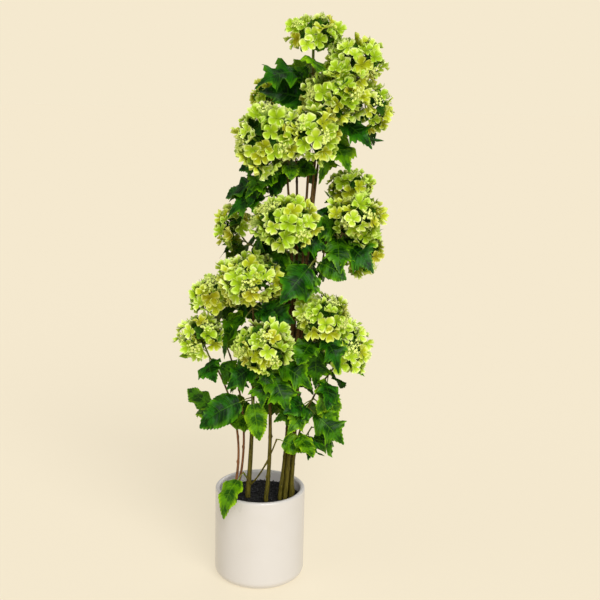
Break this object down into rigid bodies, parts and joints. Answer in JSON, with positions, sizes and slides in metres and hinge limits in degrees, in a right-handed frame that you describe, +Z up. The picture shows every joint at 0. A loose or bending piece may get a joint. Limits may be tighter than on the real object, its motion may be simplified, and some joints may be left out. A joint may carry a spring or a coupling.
{
  "type": "artificial potted hydrangea shrub",
  "caption": "Slim artificial hydrangea shrub: clustered canes with lobed leaves and domed lime flower heads, in a straight round white glazed pot.",
  "frame": {"origin": "centre of the pot's flat underside", "axes": "+Z up along the plant's height, -Y towards the side it is seen from, +X to its right"},
  "size_m": [0.333, 0.2493, 0.9156],
  "materials": {
    "glazed_pot": "gloss",
    "potting_soil": "matte",
    "cane_bark": "matte",
    "cane_bark_red": "matte",
    "leaf": "satin",
    "blossom": "matte"
  },
  "bodies": {
    "root": {"pot": "glazed_pot", "soil": "potting_soil", "cane_top": "cane_bark", "cane_upper_left": "cane_bark", "cane_upper_right": "cane_bark", "cane_right": "cane_bark", "cane_middle": "cane_bark", "cane_back": "cane_bark", "cane_left_centre": "cane_bark", "cane_centre": "cane_bark", "cane_left_outer": "cane_bark_red", "cane_left_inner": "cane_bark_red", "cane_right_thin": "cane_bark", "bough_right_middle": "cane_bark", "bough_right_centre": "cane_bark", "bough_middle_left": "cane_bark", "bough_back_low": "cane_bark", "bough_back_left": "cane_bark", "bough_back_right_low": "cane_bark", "bough_back_right": "cane_bark", "bough_low_shoot": "cane_bark", "spray_top": "blossom", "spray_upper_right": "blossom", "spray_right_top": "blossom", "spray_upper_left": "blossom", "spray_back_upper": "blossom", "spray_leaves_upper_left": "leaf", "spray_middle": "blossom", "spray_middle_outer": "blossom", "spray_right_middle": "blossom", "spray_back_right": "blossom", "spray_back_middle": "blossom", "spray_centre_leaves": "leaf", "spray_left": "blossom", "spray_left_outer": "blossom", "spray_left_low": "blossom", "spray_back_left": "blossom", "spray_centre_back": "blossom", "spray_right_centre": "blossom", "spray_right_low": "blossom", "spray_back_right_low": "blossom", "spray_centre_low": "blossom", "spray_back_low": "blossom", "spray_leaves_low_left": "leaf", "spray_leaves_low_centre": "leaf", "spray_leaves_right": "leaf", "spray_leaves_low_right": "leaf", "spray_leaves_back_low": "leaf", "spray_narrow_leaf": "leaf", "spray_pale_leaf": "leaf", "spray_rim_leaf": "leaf"}
  },
  "joints": []
}
